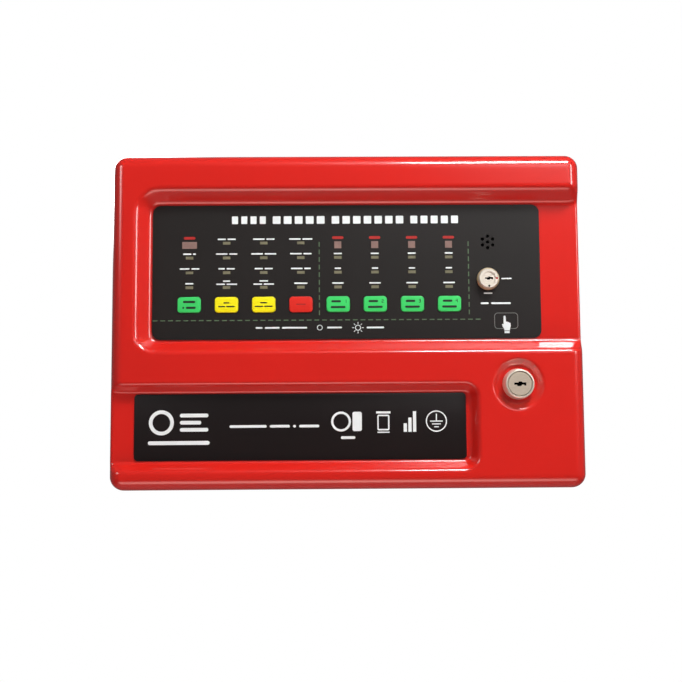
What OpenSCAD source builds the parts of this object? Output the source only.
/* [Overall size] */
// Width of the front cover, left to right
panel_w = 336; // [300:1:380]
// Height of the front cover
panel_h = 239; // [226:1:280]
// Depth from the wall to the raised front of the cover
panel_d = 90; // [88:1:110]
// Corner radius of the cover seen from the front
corner_r = 10; // [9.5:0.5:16]
// Radius of the soft front edge of the cover
front_r = 9; // [5:0.5:9.5]
// Wall thickness of the moulded cover
cover_wall = 3; // [2.4:0.2:3.4]
// Depth of the moulded skirt and front together
cover_d = 38; // [34:1:40]

/* [Front recesses] */
// Depth of the upper recess that holds the display
upper_depth = 11; // [8:0.5:12]
// Depth of the lower recess that holds the nameplate
lower_depth = 8; // [5:0.5:10]
// Left edge of the upper recess floor
upper_left = -140.8; // [-142:0.2:-140.2]
// Top edge of the upper recess floor
upper_top = 85; // [84.6:0.2:88]
// Bottom edge of the upper recess floor
upper_bottom = -15.2; // [-16:0.2:-14]
// Sideways run of the sloped upper recess walls
upper_run = 9; // [5:0.5:9.5]
// Sideways run of the wall below the display
upper_low_run = 7.2; // [5:0.2:8]
// Top edge of the lower recess floor
lower_top = -50.6; // [-51:0.2:-50.2]
// Right edge of the lower recess floor
lower_right = 86.3; // [84.4:0.1:87]
// Bottom edge of the lower recess floor
lower_bottom = -100.1; // [-101:0.1:-99.4]
// Sideways run of the sloped lower recess walls
lower_run = 5.6; // [4:0.2:6.5]

/* [Display overlay] */
// Width of the black display overlay
overlay_w = 278.5; // [276:0.5:280]
// Height of the black display overlay
overlay_h = 96.9; // [94:0.1:98]
// Thickness of the overlay and its windows
overlay_t = 0.8; // [0.6:0.1:1.2]
// Corner radius of the overlay
overlay_r = 5.8; // [3:0.2:8]
// Distance between neighbouring keys and columns
key_pitch = 26.62; // [25:0.01:27]
// Width of one key
key_w = 16.6; // [14:0.2:18]
// Height of one key
key_h = 11.2; // [9:0.2:12]
// Travel of one key
key_travel = 0.4; // [0.2:0.05:0.45]
// Height of the key tops above the overlay
key_proud = 0.8; // [0.7:0.1:2]
// Distance between neighbouring indicator rows
row_pitch = 10.7; // [8:0.1:10.8]
// Width of a small indicator window
window_w = 5.3; // [4:0.1:6]
// Height of a small indicator window
window_h = 2; // [1.5:0.1:3]

/* [Nameplate] */
// Width of the lower black nameplate
nameplate_w = 234.2; // [200:0.2:236]
// Height of the lower black nameplate
nameplate_h = 46.7; // [30:0.1:48]
// Thickness of the nameplate
nameplate_t = 0.6; // [0.4:0.1:1.5]

/* [Locks] */
// Outer radius of the dished ring around the cover lock
dish_r = 18; // [16.5:0.5:18.5]
// Depth of the dish around the cover lock
dish_depth = 4; // [3:0.5:5]
// Radius of the lock head where it meets the dish
lock_head_r = 10.7; // [10.3:0.1:11.5]
// Height of the lock head above the dish
lock_head_h = 8.5; // [6:0.5:10]
// Reach of the cam from the lock axis
cam_reach = 36; // [33:0.5:37]
// Angle of the cam, 0 open and 90 locked
cam_angle = 0; // [0:1:90]
// Radius of the key switch bezel
switch_r = 7.8; // [7:0.1:9]
// Height of the key switch above the overlay
switch_h = 5; // [3:0.5:8]

/* [Back box] */
// Thickness of the steel back box
sheet = 1.5; // [1:0.1:2]
// Gap between the cover skirt and the back box
skirt_gap = 4.6; // [4.6:0.1:6]
// How far the back box reaches into the cover
nest = 6; // [3:0.5:8]
// Radius of the wall screw holes
wall_hole_r = 2.6; // [2:0.1:3.5]
// Radius of the conduit entry in the top of the box
conduit_r = 10.25; // [8:0.25:11]

/* [Inside] */
// Width of the terminal board
board_w = 250; // [242:1:256]
// Height of the terminal board
board_h = 100; // [98:1:104]
// Height of the terminal board above the sheet
board_lift = 9; // [7:0.5:12]
// Length of one battery
battery_l = 97; // [90:0.5:98]
// Width of one battery
battery_w = 43; // [38:0.5:43]
// Height of one battery
battery_d = 52; // [44:0.5:54]

/* [Hidden] */
$fn = 48;
eps = 0.01;
run_gap = 0.05;
part_gap = 0.3;
far = 60;

red_plastic = [0.80, 0.07, 0.05];
red_steel = [0.72, 0.07, 0.06];
black_film = [0.09, 0.085, 0.08];
bright_metal = [0.78, 0.78, 0.76];
board_green = [0.05, 0.32, 0.16];
dark_plastic = [0.06, 0.06, 0.07];

// Planes across the depth; the wall is at zero and the front is negative
front_y = -panel_d;
rim_y = front_y + cover_d;
upper_y = front_y + upper_depth;
lower_y = front_y + lower_depth;
film_y = upper_y - overlay_t;
inner_upper_y = upper_y + cover_wall;
box_front_y = rim_y - nest;

// Cover inside and box outside
inner_w = panel_w - 2 * cover_wall;
inner_h = panel_h - 2 * cover_wall;
box_w = inner_w - 2 * skirt_gap;
box_h = inner_h - 2 * skirt_gap;
box_r = corner_r - cover_wall - 1;

// Front layout
overlay_x = -0.15;
overlay_z = 35.25;
key_x0 = -113;
key_z = 11.7;
key_r = 2.5;
row_z0 = 24.2;
fire_z = 54.8;
fire_h = 5;
fire_wide = 10.5;
nameplate_x = -33.6;
nameplate_z = -75.3;
lock_x = 119.8;
lock_z = -46.3;
switch_x = 101.3;
switch_z = 29.4;
sound_x = 101.6;
sound_z = 56.4;
sound_ring_r = 4.25;
sound_hole_r = 1.25;

// Key stack
key_aperture_gap = part_gap;
flange_over = 1;
flange_t = 1.5;
flange_y = upper_y + part_gap;
stem_r = 2;
stem_end_y = inner_upper_y + 0.8;
plunger_gap = 0.7;
plunger_y = stem_end_y + plunger_gap;

// Display board
display_w = 258;
display_h = 78;
display_x = -5;
display_z = 35;
display_t = 1.6;
display_y = inner_upper_y + 6.5;
display_back_y = display_y + display_t;
display_boss_x = [-126, -5, 116];
display_boss_z = [2, 68];
boss_r = 3;
led_h = 5;
led_w = 5;
led_d = 2;
buzzer_r = 6;
buzzer_h = 5.6;

// Locks
dish_y = front_y + dish_depth;
dish_floor_r = dish_r - 4;
lock_face_y = dish_y - lock_head_h;
lock_barrel_r = 9.4;
lock_front_r = lock_head_r - 1;
lock_plug_r = 8.2;
lock_tail_y = dish_y + 20;
lock_nut_t = 4;
lock_nut_r = 13;
cam_y = lock_tail_y + 0.5;
cam_t = 2;
cam_w = 16;
cam_square = 6;
switch_face_y = film_y - switch_h;
switch_barrel_r = 6;
switch_plug_r = 4.6;
switch_tail_y = inner_upper_y + 14;
switch_nut_t = 2.5;
switch_nut_r = 9;
keyway_w = 7.4;
keyway_h = 1.6;
keyway_deep = 6;

// Catch on the box wall
catch_w = 24;
catch_t = 1.5;
catch_in_x = box_w / 2 - sheet;
catch_tab_y = cam_y - part_gap;
catch_reach = 14;
catch_back_y = -20;

// Hinge
hinge_x = -(box_w + inner_w) / 4;
hinge_y = rim_y;
knuckle_r = 2;
pin_r = 1;
leaf_t = 1.2;
leaf_d = 16;
leaf_clear = 2.5;
hinge_z = [70, -70];
hinge_l = 50;
knuckle_l = 10;
knuckle_gap = 0.3;

// Box back panel
hole_x = 140;
hole_top_z = 95;
hole_low_z = -15;
slot_w = 72;
slot_h = 18;
slot_z = 96.5;
conduit_y = -26;
conduit_x = [-105, -35, 35];
open_conduit_x = 105;

// Terminal board
board_z = 34;
board_t = 1.6;
board_back_y = -sheet - board_lift;
board_y = board_back_y - board_t;
board_boss_x = [-board_w / 2 + 7, 0, board_w / 2 - 7];
board_boss_z = [board_z - board_h / 2 + 7, board_z + board_h / 2 - 24];
m3_r = 1.5;
terminal_pitch = 5;
terminal_poles = 6;
terminal_w = terminal_pitch * terminal_poles;
terminal_d = 11;
terminal_h = 13;
terminal_x = [-84, -42, 0, 42, 84];
terminal_z = board_z + board_h / 2 - 9;
relay_w = 19;
relay_d = 15.4;
relay_h = 15;
relay_x = [-60, -36, -12, 12, 36, 60];
relay_z = 48;
cap_x = [84, 98, 112];
cap_z = 52;
cap_r = 5;
cap_h = 20;
big_cap_x = [86, 106];
big_cap_z = 28;
big_cap_r = 8;
big_cap_h = 26;
fuse_x = 62;
fuse_z = [4, 16];
fuse_l = 20;
fuse_r = 2.5;
fuse_y = board_y - 6;
header_x = -108;
header_z = 24;
header_l = 34;
header_w = 8;
header_h = 9;

// Batteries, their strap and their leads
box_in_w = box_w - 2 * sheet;
box_in_h = box_h - 2 * sheet;
battery_x = -100;
battery_low_z = -box_in_h / 2 + 0.5 + battery_w / 2;
battery_top_z = battery_low_z + battery_w + 0.5;
battery_back_y = -sheet - 0.5;
battery_front_y = battery_back_y - battery_d;
tab_l = 6.4;
tab_w = 4.8;
tab_t = 0.8;
tab_in = 7;
tab_plus_x = battery_x + battery_l / 2 - tab_in;
tab_minus_x = battery_x - battery_l / 2 + tab_in + 24;
strap_w = 18;
strap_t = 1.2;
strap_x = battery_x + 14;
strap_front_y = battery_front_y - part_gap - strap_t;
strap_top_z = battery_top_z + battery_w / 2 + part_gap;

// Transformer and mains side
trafo_x = 20;
trafo_z = -68;
trafo_w = 66;
trafo_h = 55;
trafo_stack = 30;
trafo_y = -9;
trafo_yoke = 11;
trafo_side = 8.25;
trafo_window = (trafo_w / 2 - trafo_side) * 2 / 3;
trafo_coil_over = 6;
mains_x = 104;
mains_z = -94;
mains_pitch = 9.5;
mains_poles = 3;
mains_h = 16;
mains_d = 15;
earth_x = 138;
earth_z = -72;
earth_stud_r = 2.5;
earth_stud_l = 16;

// Wires
wire_r = 1.1;
wire_sides = 8;

// ---------- shared shapes ----------

// Rounded rectangle made of squares and circles
module rounded_rect(w, h, r) {
  square([w - 2 * r, h], center = true);
  square([w, h - 2 * r], center = true);
  for (sx = [-1, 1]) {
    for (sy = [-1, 1]) {
      translate([sx * (w / 2 - r), sy * (h / 2 - r)]) circle(r = r);
    }
  }
}

// Plate facing the front, from its back plane forward by its thickness
module plate(w, h, r, back_y, t) {
  translate([0, back_y, 0]) rotate([90, 0, 0]) linear_extrude(height = t) rounded_rect(w, h, r);
}

// Block by its centre in width and height, its back plane and its thickness
module block(x, z, w, h, back_y, t) {
  translate([x - w / 2, back_y - t, z - h / 2]) cube([w, t, h]);
}

// Round bar along the depth, from its back plane forward
module post(x, z, r, back_y, t) {
  translate([x, back_y, z]) rotate([90, 0, 0]) cylinder(r = r, h = t);
}

// Tapered round bar along the depth; r_front is at the front end
module taper(x, z, r_back, r_front, back_y, t) {
  translate([x, back_y, z]) rotate([90, 0, 0]) cylinder(r1 = r_back, r2 = r_front, h = t);
}

// Hexagonal bar along the depth
module hex(x, z, r, back_y, t) {
  translate([x, back_y, z]) rotate([90, 0, 0]) cylinder(r = r, h = t, $fn = 6);
}

// One pan head screw seen from the front, with a slot
module pan_screw(x, z, shank_r, head_r, head_h, seat_y, shank_l) {
  difference() {
    post(x, z, head_r, seat_y, head_h);
    block(x, z, head_r * 1.5, 0.8, seat_y - head_h / 2, head_h);
  }
  post(x, z, shank_r, seat_y + shank_l, shank_l);
}

// ---------- round wires that follow a list of points ----------

function unit(v) = v / norm(v);
function spot(pts, i) = pts[max(0, min(len(pts) - 1, i))];
function blend_axis(a, b, c, d, t) =
  0.5 * ((2 * b) + (c - a) * t + (2 * a - 5 * b + 4 * c - d) * t * t
  + (3 * b - a - 3 * c + d) * t * t * t);
function wire_path(pts, n) = [for (i = [0 : len(pts) - 2]) for (j = [0 : n - 1])
  blend_axis(spot(pts, i - 1), pts[i], pts[i + 1], spot(pts, i + 2), j / n),
  pts[len(pts) - 1]];
function heading(p, i) = unit(spot(p, i + 1) - spot(p, i - 1));
function carried(side, dir) = unit(side - (side * dir) * dir);
function sides_along(p, i, side) = i >= len(p) ? [] :
  let (s = carried(side, heading(p, i))) concat([s], sides_along(p, i + 1, s));

module wire(pts, r, n) {
  p = wire_path(pts, n);
  s = sides_along(p, 0, [0.31, 0.23, 0.92]);
  rings = len(p);
  ring_pts = [for (i = [0 : rings - 1]) for (k = [0 : wire_sides - 1])
    p[i] + r * (cos(k * 360 / wire_sides) * s[i]
    + sin(k * 360 / wire_sides) * cross(heading(p, i), s[i]))];
  skin = [for (i = [0 : rings - 2]) for (k = [0 : wire_sides - 1])
    [i * wire_sides + k, (i + 1) * wire_sides + k,
    (i + 1) * wire_sides + (k + 1) % wire_sides, i * wire_sides + (k + 1) % wire_sides]];
  ends = [[for (k = [0 : wire_sides - 1]) k],
    [for (k = [wire_sides - 1 : -1 : 0]) (rings - 1) * wire_sides + k]];
  polyhedron(points = ring_pts, faces = concat(skin, ends), convexity = 10);
}

// ---------- front cover ----------

// Upright corner column with a soft front edge, standing on the rim plane
module corner_column(r, soft, tall) {
  rotate_extrude($fn = 32) polygon(concat([[0, 0], [r, 0]],
    [for (a = [0 : 15 : 90]) [r - soft + soft * cos(a), tall - soft + soft * sin(a)]],
    [[0, tall]]));
}

module soft_box(w, h, r, soft, back_y, tall) {
  hull() {
    for (sx = [-1, 1]) {
      for (sz = [-1, 1]) {
        translate([sx * (w / 2 - r), back_y, sz * (h / 2 - r)])
          rotate([90, 0, 0]) corner_column(r, soft, tall);
      }
    }
  }
}

// Sloped recess, open at one side; the lip is level with the raised front
module recess(open_x, shut_x, low_z, top_z, run_x, run_low, run_top, r, floor_y, lip_y) {
  way = open_x > shut_x ? 1 : -1;
  hull() {
    for (end = [0, 1]) {
      y = end == 0 ? floor_y : lip_y;
      x = shut_x - way * end * run_x;
      low = low_z - end * run_low;
      top = top_z + end * run_top;
      for (z = [low + r, top - r]) {
        post(x + way * r, z, r, y, eps);
      }
      block(open_x, (low + top) / 2, eps, top - low, y, eps);
    }
  }
}

module upper_recess(grow, forward) {
  recess(panel_w / 2 + far, upper_left - grow, upper_bottom - grow, upper_top + grow,
    upper_run, upper_low_run, upper_run, 8 + grow, upper_y + grow, front_y - forward);
}

module lower_recess(grow, forward) {
  recess(-panel_w / 2 - far, lower_right + grow, lower_bottom - grow, lower_top + grow,
    lower_run, lower_run, lower_run, 5 + grow, lower_y + grow, front_y - forward);
}

module front_cover() {
  color(red_plastic) difference() {
    soft_box(panel_w, panel_h, corner_r, front_r, rim_y, cover_d);
    difference() {
      soft_box(inner_w, inner_h, corner_r - cover_wall, front_r - cover_wall,
        rim_y + 1, cover_d - cover_wall + 1);
      upper_recess(cover_wall, 0);
      lower_recess(cover_wall, 0);
      post(lock_x, lock_z, dish_r + cover_wall - 1, dish_y + cover_wall, far);
    }
    upper_recess(0, 0.5);
    lower_recess(0, 0.5);
    taper(lock_x, lock_z, dish_floor_r, dish_r, dish_y, dish_depth);
    post(lock_x, lock_z, lock_barrel_r + 0.1, dish_y + far / 2, far);
    post(switch_x, switch_z, switch_barrel_r + 0.1, upper_y + far / 2, far);
    sound_holes(upper_y + far / 2, far);
    for (n = [0 : 7]) {
      block(key_x0 + n * key_pitch, key_z, key_w + 2 * flange_over + 2 * part_gap,
        key_h + 2 * flange_over + 2 * part_gap, upper_y + far / 2, far);
      block(key_x0 + n * key_pitch, row_z0 + 1.5 * row_pitch,
        (n == 0 ? fire_wide : window_w) + 2, 3 * row_pitch + 6, upper_y + far / 2, far);
    }
  }
}

module sound_holes(back_y, t) {
  post(sound_x, sound_z, sound_hole_r, back_y, t);
  for (a = [30 : 60 : 330]) {
    post(sound_x + sound_ring_r * cos(a), sound_z + sound_ring_r * sin(a), sound_hole_r, back_y, t);
  }
}

// ---------- display overlay, windows and nameplate ----------

module overlay_windows(small, fire, back_y, t) {
  for (n = [0 : 7]) {
    x = key_x0 + n * key_pitch;
    if (small) {
      for (row = [0 : (n == 0 || n > 3) ? 2 : 3]) {
        block(x, row_z0 + row * row_pitch, window_w, window_h, back_y, t);
      }
    }
    if (fire && n == 0) {
      block(x, fire_z, fire_wide, fire_h, back_y, t);
    }
    if (fire && n > 3) {
      block(x, fire_z, fire_h, fire_h, back_y, t);
    }
  }
}

module display_overlay() {
  color(black_film) difference() {
    translate([overlay_x, 0, overlay_z]) plate(overlay_w, overlay_h, overlay_r, upper_y, overlay_t);
    overlay_windows(true, true, upper_y + 1, overlay_t + 2);
    sound_holes(upper_y + 1, overlay_t + 2);
    post(switch_x, switch_z, switch_barrel_r + 0.1, upper_y + 1, overlay_t + 2);
    for (n = [0 : 7]) {
      translate([key_x0 + n * key_pitch, 0, key_z]) plate(key_w + 2 * key_aperture_gap,
        key_h + 2 * key_aperture_gap, key_r + key_aperture_gap, upper_y + 1, overlay_t + 2);
    }
  }
}

module status_windows() {
  color([0.55, 0.55, 0.42]) overlay_windows(true, false, upper_y, overlay_t + 0.1);
}

module fire_windows() {
  color([0.72, 0.58, 0.55]) overlay_windows(false, true, upper_y, overlay_t + 0.1);
}

module nameplate() {
  color(black_film) translate([nameplate_x, 0, nameplate_z])
    plate(nameplate_w, nameplate_h, 2.8, lower_y, nameplate_t);
}

// ---------- keys ----------

module key_cap(n, tint) {
  x = key_x0 + n * key_pitch;
  color(tint) {
    translate([x, 0, key_z]) plate(key_w, key_h, key_r, flange_y, flange_y - film_y + key_proud);
    block(x, key_z, key_w + 2 * flange_over, key_h + 2 * flange_over, flange_y + flange_t, flange_t);
    post(x, key_z, stem_r, stem_end_y, stem_end_y - flange_y - flange_t);
  }
}

key_green = [0.28, 0.88, 0.47];
key_yellow = [0.98, 0.96, 0.04];
key_red = [0.88, 0.19, 0.12];

module key_reset_test() key_cap(0, key_green);
module key_buzzer_silence() key_cap(1, key_yellow);
module key_sounder_silence() key_cap(2, key_yellow);
module key_evacuate() key_cap(3, key_red);
module key_zone_1() key_cap(4, key_green);
module key_zone_2() key_cap(5, key_green);
module key_zone_3() key_cap(6, key_green);
module key_zone_4() key_cap(7, key_green);

// ---------- display board ----------

module display_board() {
  color(board_green) difference() {
    block(display_x, display_z, display_w, display_h, display_back_y, display_t);
    post(switch_x, switch_z, switch_barrel_r + 1, display_back_y + 1, display_t + 2);
    for (x = display_boss_x) {
      for (z = display_boss_z) {
        post(x, z, m3_r + 0.1, display_back_y + 1, display_t + 2);
      }
    }
  }
}

module display_standoffs() {
  color([0.85, 0.84, 0.8]) difference() {
    union() {
      for (x = display_boss_x) {
        for (z = display_boss_z) {
          post(x, z, boss_r, display_y, display_y - inner_upper_y);
        }
      }
    }
    for (x = display_boss_x) {
      for (z = display_boss_z) {
        post(x, z, m3_r, display_y + 1, 6);
      }
    }
  }
}

module display_screws() {
  color(bright_metal) {
    for (x = display_boss_x) {
      for (z = display_boss_z) {
        post(x, z, m3_r - 0.02, display_back_y + eps, display_t + 4.5);
        difference() {
          post(x, z, 2.8, display_back_y + 2, 2);
          block(x, z, 4.4, 0.7, display_back_y + 2.5, 1.4);
        }
      }
    }
  }
}

module display_leds() {
  color([0.9, 0.9, 0.86]) {
    for (n = [0 : 7]) {
      x = key_x0 + n * key_pitch;
      for (row = [0 : (n == 0 || n > 3) ? 2 : 3]) {
        block(x, row_z0 + row * row_pitch, led_w, led_d, display_y, led_h);
      }
      if (n == 0) {
        for (s = [-1, 1]) {
          block(x + s * 2.7, fire_z, led_w, led_w - 0.4, display_y, led_h);
        }
      }
      if (n > 3) {
        block(x, fire_z, led_w, led_w - 0.4, display_y, led_h);
      }
    }
  }
}

module tact_switches() {
  color(dark_plastic) {
    for (n = [0 : 7]) {
      block(key_x0 + n * key_pitch, key_z, 6, 6, display_y, 3.4);
      post(key_x0 + n * key_pitch, key_z, 1.7, display_y, display_y - plunger_y);
    }
  }
}

module buzzer() {
  color(dark_plastic) difference() {
    post(sound_x, sound_z, buzzer_r, display_y, buzzer_h);
    post(sound_x, sound_z, 1.2, display_y - buzzer_h + 1, 3);
  }
}

module chip(x, z, w, h, seat_y, out, pins) {
  s = out;
  translate([x, seat_y, z]) {
    translate([-w / 2, s > 0 ? 0.4 : -2.4, -h / 2]) cube([w, 2, h]);
    for (side = [-1, 1]) {
      for (i = [0 : pins - 1]) {
        translate([(i - (pins - 1) / 2) * w / pins - 0.25, s > 0 ? 0 : -1.2,
          side * (h / 2 + 0.6) - 0.7]) cube([0.5, 1.2, 1.4]);
      }
    }
  }
}

module display_chips() {
  color(dark_plastic) {
    for (x = [-88, -52, 34, 66]) {
      chip(x, 40, 10, 6, display_back_y, 1, 7);
    }
    chip(-12, 46, 16, 12, display_back_y, 1, 10);
    for (x = [-100, -74, -30, 20, 50]) {
      chip(x, 22, 5, 4, display_back_y, 1, 4);
    }
  }
}

// ---------- ribbon cable across the hinge ----------

ribbon_t = 1;
ribbon_h = 30;
ribbon_turn_r = 14;
ribbon_box_y = board_y - header_h + 3;
ribbon_cover_x = -120;
ribbon_cover_y = display_back_y + 6;
ribbon_bend_x = -136;
ribbon_mid_y = (ribbon_box_y + ribbon_cover_y) / 2;
ribbon_half = (ribbon_box_y - ribbon_cover_y) / 2;

function ribbon_line(off) = concat(
  [[header_x - header_w / 2 - 0.2, ribbon_box_y + off]],
  [for (a = [-90 : -10 : -270]) [ribbon_bend_x + (ribbon_turn_r + off) * cos(a),
    ribbon_mid_y - (ribbon_half + off) * sin(a)]],
  [[ribbon_cover_x - 4.2, ribbon_cover_y - off]]);

function backward(list) = [for (i = [len(list) - 1 : -1 : 0]) list[i]];

module ribbon_cable() {
  color([0.62, 0.62, 0.64]) translate([0, 0, header_z - ribbon_h / 2])
    linear_extrude(height = ribbon_h)
    polygon(concat(ribbon_line(ribbon_t / 2), backward(ribbon_line(-ribbon_t / 2))));
}

module ribbon_connector() {
  color(dark_plastic) {
    block(ribbon_cover_x, header_z, 8, header_l, display_back_y + 8, 8);
  }
}

module ribbon_header() {
  color(dark_plastic) block(header_x, header_z, header_w, header_l, board_y, header_h);
}

// ---------- key switch ----------

module keyswitch_body() {
  color([0.86, 0.84, 0.76]) difference() {
    union() {
      taper(switch_x, switch_z, switch_r, switch_r - 1.1, film_y, switch_h);
      post(switch_x, switch_z, switch_barrel_r, switch_tail_y, switch_tail_y - film_y + eps);
      for (a = [-1, 1]) {
        block(switch_x + a * 3, switch_z, 0.8, 2.8, switch_tail_y + 5, 5.5);
      }
    }
    post(switch_x, switch_z, switch_plug_r + run_gap, switch_tail_y - 2, far);
  }
}

module keyswitch_plug() {
  color([0.85, 0.8, 0.62]) difference() {
    post(switch_x, switch_z, switch_plug_r, switch_tail_y - 2.5,
      switch_tail_y - 2.5 - switch_face_y - 0.4);
    block(switch_x, switch_z, 6, 1.4, switch_face_y + keyway_deep, keyway_deep);
  }
}

// ---------- cover lock ----------

module lock_body() {
  color(bright_metal) difference() {
    union() {
      taper(lock_x, lock_z, lock_head_r, lock_front_r, dish_y, lock_head_h);
      post(lock_x, lock_z, lock_barrel_r, lock_tail_y, lock_tail_y - dish_y + eps);
    }
    post(lock_x, lock_z, lock_plug_r + run_gap, lock_tail_y + 1, far);
  }
}

module lock_nuts() {
  color(bright_metal) difference() {
    union() {
      hex(lock_x, lock_z, lock_nut_r, dish_y + cover_wall + lock_nut_t, lock_nut_t);
      hex(switch_x, switch_z, switch_nut_r, inner_upper_y + switch_nut_t, switch_nut_t);
    }
    post(lock_x, lock_z, lock_barrel_r + 0.02, dish_y + far / 2, far);
    post(switch_x, switch_z, switch_barrel_r + 0.02, inner_upper_y + far / 2, far);
  }
}

module lock_plug() {
  color([0.82, 0.78, 0.68]) difference() {
    union() {
      post(lock_x, lock_z, lock_plug_r, lock_tail_y - 0.3, lock_tail_y - 0.6 - lock_face_y);
      block(lock_x, lock_z, cam_square, cam_square, cam_y + cam_t + 0.5, cam_t + 2);
    }
    block(lock_x, lock_z, keyway_w, keyway_h, lock_face_y + keyway_deep, keyway_deep);
    post(lock_x, lock_z, m3_r, cam_y + cam_t + 1, 8);
  }
}

module lock_cam() {
  color(bright_metal) translate([lock_x, 0, lock_z]) rotate([0, cam_angle, 0]) difference() {
    union() {
      post(0, 0, cam_w / 2, cam_y + cam_t, cam_t);
      block(0, (cam_reach - 4) / 2, cam_w, cam_reach - 4, cam_y + cam_t, cam_t);
      translate([0, 0, cam_reach - 4]) plate(cam_w, 8, 3.9, cam_y + cam_t, cam_t);
    }
    block(0, 0, cam_square, cam_square, cam_y + cam_t + 1, cam_t + 2);
  }
}

module lock_cam_screw() {
  color(bright_metal) {
    post(lock_x, lock_z, m3_r - 0.02, cam_y + cam_t + 0.5 + eps, 7);
    difference() {
      post(lock_x, lock_z, 5, cam_y + cam_t + 2.5, 2);
      block(lock_x, lock_z, 8, 1, cam_y + cam_t + 3, 1.5);
    }
  }
}

module lock_catch() {
  color(bright_metal) difference() {
    union() {
      translate([catch_in_x - catch_t, catch_tab_y, lock_z - catch_w / 2])
        cube([catch_t, catch_back_y - catch_tab_y, catch_w]);
      translate([catch_in_x - catch_reach, catch_tab_y - catch_t, lock_z - catch_w / 2])
        cube([catch_reach, catch_t, catch_w]);
    }
    for (s = [-1, 1]) {
      translate([catch_in_x, catch_back_y - 14, lock_z + s * 7]) rotate([0, 90, 0])
        cylinder(r = 2.1, h = 3 * catch_t, center = true);
    }
  }
}

// ---------- hinge ----------

// Knuckle ring with its tab; keep says which knuckles belong to this leaf
module knuckle_rings(first) {
  for (hz = hinge_z) {
    for (i = [first : 2 : 4]) {
      translate([hinge_x, hinge_y, hz - hinge_l / 2 + i * knuckle_l + knuckle_gap / 2])
        cylinder(r = knuckle_r, h = knuckle_l - knuckle_gap);
    }
  }
}

module knuckle_tabs(first, x, y, d) {
  for (hz = hinge_z) {
    for (i = [first : 2 : 4]) {
      translate([x, y, hz - hinge_l / 2 + i * knuckle_l + knuckle_gap / 2])
        cube([leaf_t, d, knuckle_l - knuckle_gap]);
    }
  }
}

module pin_bores() {
  for (hz = hinge_z) {
    translate([hinge_x, hinge_y, hz - hinge_l / 2 - 1])
      cylinder(r = pin_r + run_gap, h = hinge_l + 2);
  }
}

module hinge_box_leaves() {
  color(bright_metal) difference() {
    union() {
      knuckle_rings(0);
      knuckle_tabs(0, -box_w / 2 - leaf_t, hinge_y, leaf_clear + 1);
      for (hz = hinge_z) {
        translate([-box_w / 2 - leaf_t, hinge_y + leaf_clear, hz - hinge_l / 2])
          cube([leaf_t, leaf_d, hinge_l]);
      }
    }
    pin_bores();
  }
}

module hinge_cover_leaves() {
  color(bright_metal) difference() {
    union() {
      knuckle_rings(1);
      knuckle_tabs(1, -inner_w / 2, hinge_y - leaf_clear - 1, leaf_clear + 1);
      for (hz = hinge_z) {
        translate([-inner_w / 2, hinge_y - leaf_clear - leaf_d + 4, hz - hinge_l / 2])
          cube([leaf_t, leaf_d - 4, hinge_l]);
      }
    }
    pin_bores();
  }
}

module hinge_pins() {
  color([0.6, 0.6, 0.6]) {
    for (hz = hinge_z) {
      translate([hinge_x, hinge_y, hz - hinge_l / 2 - 1]) cylinder(r = pin_r, h = hinge_l + 2);
      for (s = [-1, 1]) {
        translate([hinge_x, hinge_y, hz + s * (hinge_l / 2 + 1)])
          cylinder(r = pin_r + 0.5, h = 1, center = true);
      }
    }
  }
}

// ---------- back box ----------

module back_box() {
  color(red_steel) difference() {
    plate(box_w, box_h, box_r, 0, -box_front_y);
    plate(box_in_w, box_in_h, box_r - sheet, -sheet, far + far);
    for (x = [-hole_x, hole_x]) {
      for (z = [hole_low_z, hole_top_z]) {
        post(x, z, wall_hole_r, 1, sheet + 2);
      }
    }
    block(0, slot_z, slot_w, slot_h, 1, sheet + 2);
    for (x = concat(conduit_x, [open_conduit_x])) {
      translate([x, conduit_y, box_in_h / 2 - 1]) cylinder(r = conduit_r, h = sheet + 2);
    }
    for (s = [-1, 1]) {
      translate([catch_in_x, catch_back_y - 14, lock_z + s * 7]) rotate([0, 90, 0])
        cylinder(r = 2.1, h = far, center = true);
    }
  }
}

module knockout_plugs() {
  color([0.13, 0.13, 0.14]) {
    for (x = conduit_x) {
      translate([x, conduit_y, box_h / 2]) {
        cylinder(r = conduit_r + 1.6, h = 1.2);
        translate([0, 0, -sheet - 3]) cylinder(r = conduit_r - 0.05, h = sheet + 3);
      }
    }
  }
}

// ---------- terminal board and its parts ----------

module board_holes(back_y, t, r) {
  for (x = board_boss_x) {
    for (z = board_boss_z) {
      post(x, z, r, back_y, t);
    }
  }
}

module terminal_board() {
  color(board_green) difference() {
    block(0, board_z, board_w, board_h, board_back_y, board_t);
    board_holes(board_back_y + 1, board_t + 2, m3_r + 0.1);
  }
}

module board_standoffs() {
  color(bright_metal) difference() {
    for (x = board_boss_x) {
      for (z = board_boss_z) {
        hex(x, z, 3.4, -sheet, board_lift);
      }
    }
    board_holes(board_back_y + 6, 7, m3_r);
  }
}

module board_screws() {
  color(bright_metal) {
    for (x = board_boss_x) {
      for (z = board_boss_z) {
        pan_screw(x, z, m3_r - 0.02, 2.9, 2.2, board_y, board_t + 5);
      }
    }
  }
}

module terminal_blocks() {
  color([0.1, 0.42, 0.2]) difference() {
    for (x = terminal_x) {
      block(x, terminal_z, terminal_w, terminal_d, board_y, terminal_h);
    }
    for (x = terminal_x) {
      for (i = [0 : terminal_poles - 1]) {
        px = x + (i - (terminal_poles - 1) / 2) * terminal_pitch;
        post(px, terminal_z - 1, 1.8, board_y - terminal_h + 4, 6);
        block(px, terminal_z + terminal_d / 2, 3.4, 8, board_y - 2, 4.2);
      }
    }
  }
}

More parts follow.
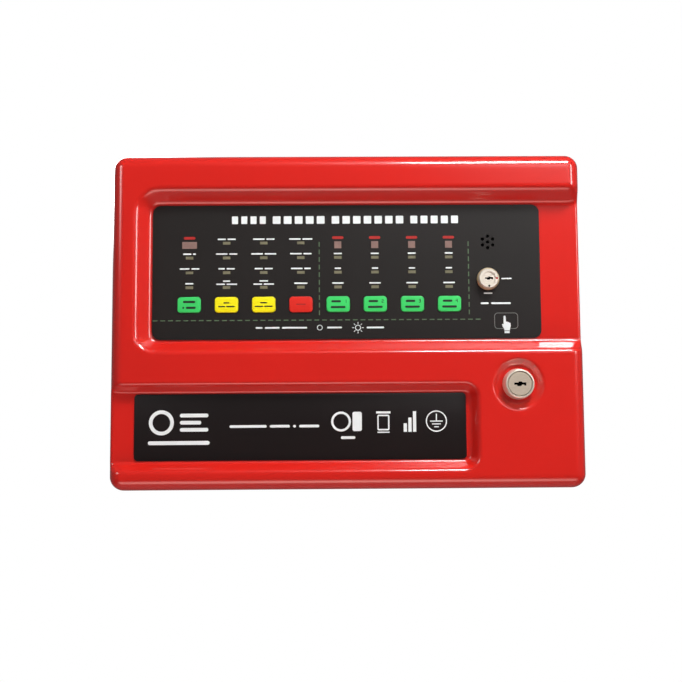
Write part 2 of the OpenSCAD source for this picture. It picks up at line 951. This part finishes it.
module terminal_screws() {
  color(bright_metal) {
    for (x = terminal_x) {
      for (i = [0 : terminal_poles - 1]) {
        px = x + (i - (terminal_poles - 1) / 2) * terminal_pitch;
        difference() {
          post(px, terminal_z - 1, 1.7, board_y - terminal_h + 4, 2.2);
          block(px, terminal_z - 1, 5, 0.6, board_y - terminal_h + 2.8, 2);
        }
      }
    }
    for (i = [0 : mains_poles - 1]) {
      px = mains_x + (i - 1) * mains_pitch;
      difference() {
        post(px, mains_z, 2.1, -sheet - mains_h + 2, 3);
        block(px, mains_z, 5, 0.7, -sheet - mains_h, 3);
      }
    }
  }
}

module relays() {
  color([0.12, 0.25, 0.55]) {
    for (x = relay_x) {
      block(x, relay_z, relay_w, relay_d, board_y, relay_h);
    }
  }
}

module capacitors() {
  color([0.12, 0.13, 0.2]) {
    for (x = cap_x) {
      post(x, cap_z, cap_r, board_y, cap_h);
      post(x, cap_z, cap_r - 0.8, board_y, cap_h + 0.3);
    }
    for (x = big_cap_x) {
      post(x, big_cap_z, big_cap_r, board_y, big_cap_h);
      post(x, big_cap_z, big_cap_r - 1, board_y, big_cap_h + 0.3);
    }
  }
}

module board_chips() {
  color(dark_plastic) {
    chip(-20, 20, 18, 14, board_y, -1, 11);
    for (x = [-72, -56, 10, 26]) {
      chip(x, 22, 10, 6.4, board_y, -1, 7);
    }
    for (x = [-66, -40, -14, 12, 38]) {
      chip(x, 3, 6, 4.4, board_y, -1, 4);
    }
  }
}

module fuse_holders() {
  color([0.75, 0.74, 0.7]) difference() {
    union() {
      for (z = fuse_z) {
        block(fuse_x + 26, z, fuse_l + 4, 8, board_y, 2);
        for (s = [-1, 1]) {
          block(fuse_x + 26 + s * (fuse_l / 2 - 2.5), z, 4, 7.4, board_y - 2 + eps, 6.4);
        }
      }
    }
    for (z = fuse_z) {
      translate([fuse_x + 26, fuse_y, z]) rotate([0, 90, 0])
        cylinder(r = fuse_r + 0.02, h = far, center = true);
      block(fuse_x + 26, z, far / 2, 3.4, fuse_y, 6);
    }
  }
}

module glass_fuses() {
  color([0.8, 0.85, 0.85]) {
    for (z = fuse_z) {
      translate([fuse_x + 26, fuse_y, z]) rotate([0, 90, 0]) {
        cylinder(r = fuse_r - 0.25, h = fuse_l - 2, center = true);
        for (s = [-1, 1]) {
          translate([0, 0, s * (fuse_l / 2 - 2.5)]) cylinder(r = fuse_r, h = 5, center = true);
        }
      }
    }
  }
}

// ---------- transformer and mains terminals ----------

module transformer_core() {
  color([0.35, 0.34, 0.33]) difference() {
    block(trafo_x, trafo_z, trafo_w, trafo_h, trafo_y, trafo_stack);
    for (s = [-1, 1]) {
      block(trafo_x + s * (trafo_w / 2 - trafo_side - trafo_window / 2), trafo_z, trafo_window,
        trafo_h - 2 * trafo_yoke, trafo_y + 1, trafo_stack + 2);
    }
  }
}

module transformer_coil() {
  gap = 0.3;
  wide = trafo_w - 2 * trafo_side - 2 * gap;
  tall = trafo_h - 2 * trafo_yoke - 2 * gap;
  leg = trafo_w - 2 * trafo_side - 2 * trafo_window;
  color([0.85, 0.7, 0.25]) difference() {
    translate([trafo_x, 0, trafo_z]) plate(wide, tall, 3, trafo_y + trafo_coil_over,
      trafo_stack + 2 * trafo_coil_over);
    block(trafo_x, trafo_z, leg + 2 * gap, far * 2, trafo_y + gap, trafo_stack + 2 * gap);
  }
}

module transformer_bracket() {
  t = 1.2;
  wide = trafo_w + 2 * t + 0.2;
  color(bright_metal) difference() {
    union() {
      block(trafo_x, trafo_z, wide, 20, -sheet, -trafo_y - sheet + trafo_stack + t + 0.1);
      block(trafo_x, trafo_z, wide + 26, 20, -sheet, t);
    }
    block(trafo_x, trafo_z, trafo_w + 0.2, 22, -sheet + 1, -trafo_y - sheet + trafo_stack + 1.1);
    block(trafo_x, trafo_z, trafo_w - 2 * trafo_side, 22, trafo_y - trafo_stack + 1, 4);
    for (s = [-1, 1]) {
      post(trafo_x + s * (wide / 2 + 7), trafo_z, 2.1, 1, 6);
    }
  }
}

module box_screws() {
  wide = trafo_w + 2.6;
  color(bright_metal) {
    for (s = [-1, 1]) {
      pan_screw(trafo_x + s * (wide / 2 + 7), trafo_z, 2, 3.8, 2.4, -sheet - 1.2, 1.2);
    }
    pan_screw(strap_x, strap_top_z + 7, 2, 3.8, 2.4, -sheet - strap_t, strap_t);
    for (s = [-1, 1]) {
      translate([catch_in_x - catch_t, catch_back_y - 14, lock_z + s * 7]) {
        rotate([0, -90, 0]) cylinder(r = 3.8, h = 2.4);
        rotate([0, 90, 0]) cylinder(r = 2, h = catch_t + sheet - 0.2);
      }
    }
  }
}

module mains_terminal_block() {
  wide = mains_pitch * mains_poles;
  color([0.92, 0.9, 0.84]) difference() {
    union() {
      block(mains_x, mains_z, wide, mains_d, -sheet, mains_h);
      for (i = [0 : mains_poles - 1]) {
        post(mains_x + (i - 1) * mains_pitch, mains_z, 3.6, -sheet, mains_h + 4);
      }
    }
    for (i = [0 : mains_poles - 1]) {
      px = mains_x + (i - 1) * mains_pitch;
      post(px, mains_z, 2.2, -sheet - mains_h + 2, 10);
      translate([px, -sheet - mains_h / 2, mains_z]) cylinder(r = 2, h = far, center = true);
    }
  }
}

// Threaded stud with its two nuts
module earth_stud() {
  color([0.8, 0.66, 0.3]) {
    post(earth_x, earth_z, earth_stud_r, -sheet, earth_stud_l);
    difference() {
      union() {
        hex(earth_x, earth_z, 4.6, -sheet - 0.3, 4);
        hex(earth_x, earth_z, 4.6, -sheet - 6.2, 4);
      }
      post(earth_x, earth_z, earth_stud_r + 0.02, 1, far);
    }
  }
}

// ---------- batteries ----------

module battery(z) {
  color([0.16, 0.17, 0.2]) translate([battery_x, 0, z]) difference() {
    union() {
      plate(battery_l, battery_w, 2, battery_back_y, battery_d - 6);
      plate(battery_l - 1, battery_w - 1, 2, battery_back_y - battery_d + 6.5, 6.5);
    }
    for (s = [-1, 1]) {
      block(s * (battery_l / 2 - 18), 0, 8, 20, battery_front_y + 0.8, 2);
    }
  }
}

module batteries() {
  battery(battery_top_z);
  battery(battery_low_z);
}

module battery_terminals() {
  color([0.8, 0.75, 0.6]) {
    for (z = [battery_low_z, battery_top_z]) {
      for (x = [tab_plus_x, tab_minus_x]) {
        block(x, z - 9, tab_t, tab_w, battery_front_y, tab_l);
      }
    }
  }
}

module battery_strap() {
  low_z = -box_in_h / 2 + 0.1;
  color(bright_metal) {
    difference() {
      union() {
        block(strap_x, (low_z + strap_top_z + strap_t) / 2, strap_w,
          strap_top_z + strap_t - low_z, strap_front_y + strap_t, strap_t);
        block(strap_x, strap_top_z + strap_t / 2, strap_w, strap_t, -sheet,
          -sheet - strap_front_y);
        block(strap_x, strap_top_z + 7, strap_w, 14, -sheet, strap_t);
      }
      post(strap_x, strap_top_z + 7, 2.1, 1, 6);
    }
  }
}

// ---------- wires ----------

tab_end_y = battery_front_y - tab_l;
lead_out_y = tab_end_y - 1.2;

// Red lead: upper battery plus to the board
red_lead_pts = [[tab_plus_x, lead_out_y + 0.6, battery_top_z - 9],
  [tab_plus_x + 3, lead_out_y - 1.8, battery_top_z - 4],
  [tab_plus_x + 12, lead_out_y + 4, battery_top_z + 12],
  [tab_plus_x + 17, board_y - 26, -6],
  [-32, board_y - 14, 2],
  [-36, board_y - 8, 6],
  [-38, board_y - 1.6, 8]];
// Black lead: lower battery minus to the board
black_x = tab_minus_x - 7;
black_lead_pts = [[tab_minus_x, lead_out_y + 0.6, battery_low_z - 9],
  [tab_minus_x - 3, lead_out_y - 2.4, battery_low_z - 3],
  [black_x, lead_out_y - 2.4, battery_low_z + 14],
  [black_x, lead_out_y - 2, battery_top_z + 2],
  [black_x + 8, lead_out_y + 2, battery_top_z + 18],
  [tab_minus_x + 16, board_y - 26, -8],
  [-88, board_y - 12, 2],
  [-88, board_y - 6, 5],
  [-88, board_y - 1.6, 7]];
// Link lead: lower battery plus to upper battery minus
link_lead_pts = [[tab_plus_x, lead_out_y + 0.6, battery_low_z - 9],
  [tab_plus_x - 5, lead_out_y - 2.6, battery_low_z - 3],
  [tab_plus_x - 14, lead_out_y - 4.2, battery_low_z + 8],
  [tab_minus_x + 26, lead_out_y - 4.4, battery_top_z - 16],
  [tab_minus_x + 14, lead_out_y - 4.4, battery_top_z - 10],
  [tab_minus_x, lead_out_y + 0.6, battery_top_z - 9]];

module lead_sleeve(x, z) {
  block(x, z, 3, 7, battery_front_y - 0.6, tab_l + 1);
}

module battery_lead_red() {
  color([0.75, 0.05, 0.05]) difference() {
    union() {
      wire(red_lead_pts, wire_r, 6);
      lead_sleeve(tab_plus_x, battery_top_z - 9);
    }
    block(tab_plus_x, battery_top_z - 9, tab_t + 0.1, tab_w + 0.1, battery_front_y + 1, tab_l + 1.05);
  }
}

module battery_lead_black() {
  color([0.05, 0.05, 0.05]) difference() {
    union() {
      wire(black_lead_pts, wire_r, 6);
      lead_sleeve(tab_minus_x, battery_low_z - 9);
    }
    block(tab_minus_x, battery_low_z - 9, tab_t + 0.1, tab_w + 0.1, battery_front_y + 1, tab_l + 1.05);
  }
}

module battery_link_lead() {
  color([0.12, 0.12, 0.4]) difference() {
    union() {
      wire(link_lead_pts, wire_r, 6);
      lead_sleeve(tab_plus_x, battery_low_z - 9);
      lead_sleeve(tab_minus_x, battery_top_z - 9);
    }
    block(tab_plus_x, battery_low_z - 9, tab_t + 0.1, tab_w + 0.1, battery_front_y + 1, tab_l + 1.05);
    block(tab_minus_x, battery_top_z - 9, tab_t + 0.1, tab_w + 0.1, battery_front_y + 1, tab_l + 1.05);
  }
}

mains_in_z = mains_z + mains_d / 2;
mains_mid_y = -sheet - mains_h / 2;
coil_front_y = trafo_y - trafo_stack - trafo_coil_over;

coil_lead_y = coil_front_y - wire_r - 0.05;

function mains_lead_pts(i) = [[trafo_x + 4 + i * 6, coil_lead_y, trafo_z + 13],
  [trafo_x + 8 + i * 6, coil_lead_y, trafo_z + 6],
  [trafo_x + 14 + i * 6, coil_lead_y - 3, trafo_z + 1],
  [trafo_x + 40 + i * 5, coil_front_y + 2, trafo_z - 2 - i * 3],
  [trafo_x + 62 + i * 6, -28, trafo_z - 2 - i * 2],
  [mains_x + (i - 1) * mains_pitch, -14, mains_in_z + 12],
  [mains_x + (i - 1) * mains_pitch, mains_mid_y, mains_in_z + 5],
  [mains_x + (i - 1) * mains_pitch, mains_mid_y, mains_z + 2]];

function low_lead_pts(i) = [[trafo_x - 14 + i * 6, coil_lead_y, trafo_z - 4],
  [trafo_x - 14 + i * 6, coil_lead_y, trafo_z + 6],
  [trafo_x - 13 + i * 6, coil_lead_y - 2, trafo_z + 18],
  [trafo_x - 12 + i * 6, coil_front_y - 2, trafo_z + 32],
  [trafo_x - 8 + i * 6, -30, trafo_z + 50],
  [trafo_x - 4 + i * 6, board_y - 10, trafo_z + 58],
  [trafo_x - 4 + i * 6, board_y - 1.6, trafo_z + 62]];

module transformer_leads() {
  color([0.85, 0.7, 0.1]) {
    for (i = [0, 1]) {
      wire(mains_lead_pts(i), wire_r, 6);
      wire(low_lead_pts(i), wire_r, 6);
    }
  }
}

earth_lug_y = -sheet - 4.6;
earth_lead_pts = [[earth_x - 7, earth_lug_y - 0.6, earth_z - 2],
  [earth_x - 11, earth_lug_y - 2, earth_z - 4],
  [earth_x - 16, -12, earth_z - 4],
  [mains_x + mains_pitch + 2, -12, mains_in_z + 12],
  [mains_x + mains_pitch, mains_mid_y, mains_in_z + 5],
  [mains_x + mains_pitch, mains_mid_y, mains_z + 2]];

module earth_lead() {
  color([0.35, 0.6, 0.12]) {
    wire(earth_lead_pts, wire_r, 6);
    difference() {
      union() {
        post(earth_x, earth_z, 4.6, earth_lug_y, 1.2);
        block(earth_x - 5, earth_z - 2, 6, 3, earth_lug_y, 1.2);
      }
      post(earth_x, earth_z, earth_stud_r + 0.1, 1, far);
    }
  }
}

// ---------- draw ----------

back_box();
knockout_plugs();
terminal_board();
board_standoffs();
board_screws();
terminal_blocks();
terminal_screws();
relays();
capacitors();
board_chips();
fuse_holders();
glass_fuses();
ribbon_header();
transformer_core();
transformer_coil();
transformer_bracket();
mains_terminal_block();
battery_terminals();
battery_strap();
battery_lead_red();
battery_lead_black();
battery_link_lead();
earth_stud();
earth_lead();
lock_catch();
hinge_box_leaves();
hinge_pins();
front_cover();
display_overlay();
nameplate();
fire_windows();
status_windows();
display_board();
display_leds();
tact_switches();
buzzer();
display_standoffs();
display_screws();
display_chips();
ribbon_connector();
ribbon_cable();
keyswitch_body();
lock_body();
hinge_cover_leaves();
key_reset_test();
key_buzzer_silence();
key_sounder_silence();
key_evacuate();
key_zone_1();
key_zone_2();
key_zone_3();
key_zone_4();
keyswitch_plug();
lock_plug();
lock_cam();
lock_cam_screw();
box_screws();
batteries();
transformer_leads();
lock_nuts();
